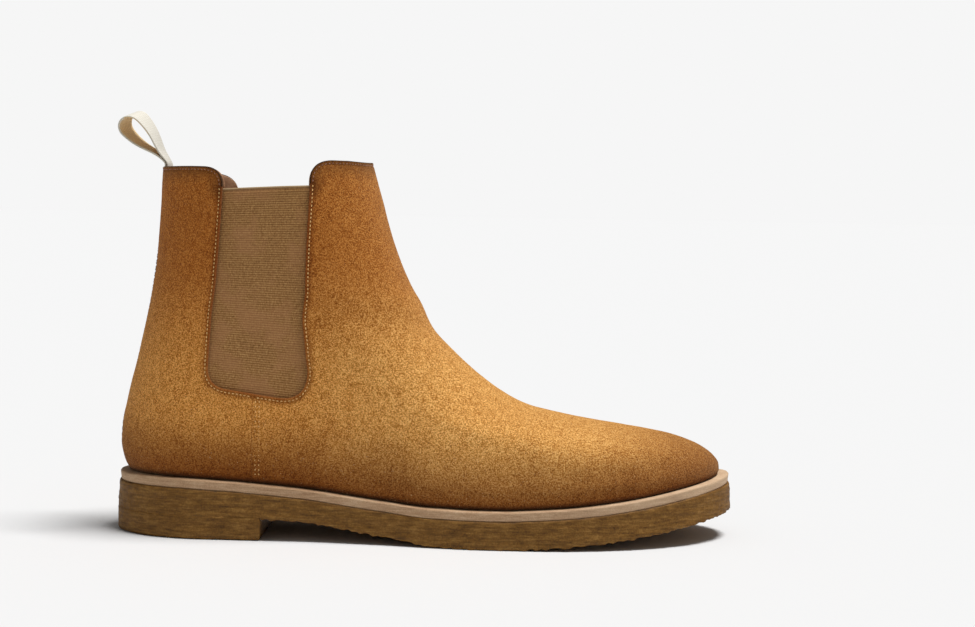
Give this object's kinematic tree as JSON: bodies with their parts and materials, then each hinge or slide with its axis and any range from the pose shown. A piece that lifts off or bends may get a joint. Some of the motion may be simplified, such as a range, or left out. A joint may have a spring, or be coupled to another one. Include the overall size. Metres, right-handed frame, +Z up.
{
  "type": "chelsea boot",
  "caption": "Ankle-high suede chelsea boot for the right foot, with elastic side gores, a rear webbing pull loop, a leather midsole and a crepe sole with a separate heel lift.",
  "frame": {"origin": "on the ground, under the middle of the outsole's length and width", "axes": "+X to the toe, +Y to the inner side of the right foot, +Z up"},
  "size_m": [0.3072, 0.1089, 0.2065],
  "materials": {
    "suede": "napped suede",
    "gore_elastic": "ribbed elastic",
    "lining_leather": "smooth",
    "midsole_leather": "natural edge",
    "crepe": "rough laminated crepe",
    "cork_filler": "granular",
    "spring_steel": "satin",
    "fibre_board": "pressed leather fibre",
    "puff_stiffener": "resin-filled felt",
    "cotton_tape": "woven",
    "webbing": "twill webbing"
  },
  "bodies": {
    "boot": {"heel_lift": "crepe", "outsole": "crepe", "midsole": "midsole_leather", "bottom_filler": "cork_filler", "shank": "spring_steel", "insole_board": "fibre_board", "sock_liner": "lining_leather", "front_panel": "suede", "outer_rear_quarter": "suede", "inner_rear_quarter": "suede", "outer_gore": "gore_elastic", "inner_gore": "gore_elastic", "toe_puff": "puff_stiffener", "heel_counter": "fibre_board", "back_seam_tape": "cotton_tape", "front_topline_tape": "cotton_tape", "outer_rear_topline_tape": "cotton_tape", "inner_rear_topline_tape": "cotton_tape", "front_lining": "lining_leather", "rear_lining": "lining_leather", "pull_loop_tails": "webbing"},
    "loop": {"pull_loop": "webbing"}
  },
  "joints": [
    {"name": "pull_loop_tilt", "type": "hinge", "parent": "boot", "child": "loop", "pos_m": [-0.1299, 0.001, 0.1822], "axis": [0, 1, 0], "range_deg": [-50, 133], "stiffness_Nm_per_rad": 0.01}
  ]
}
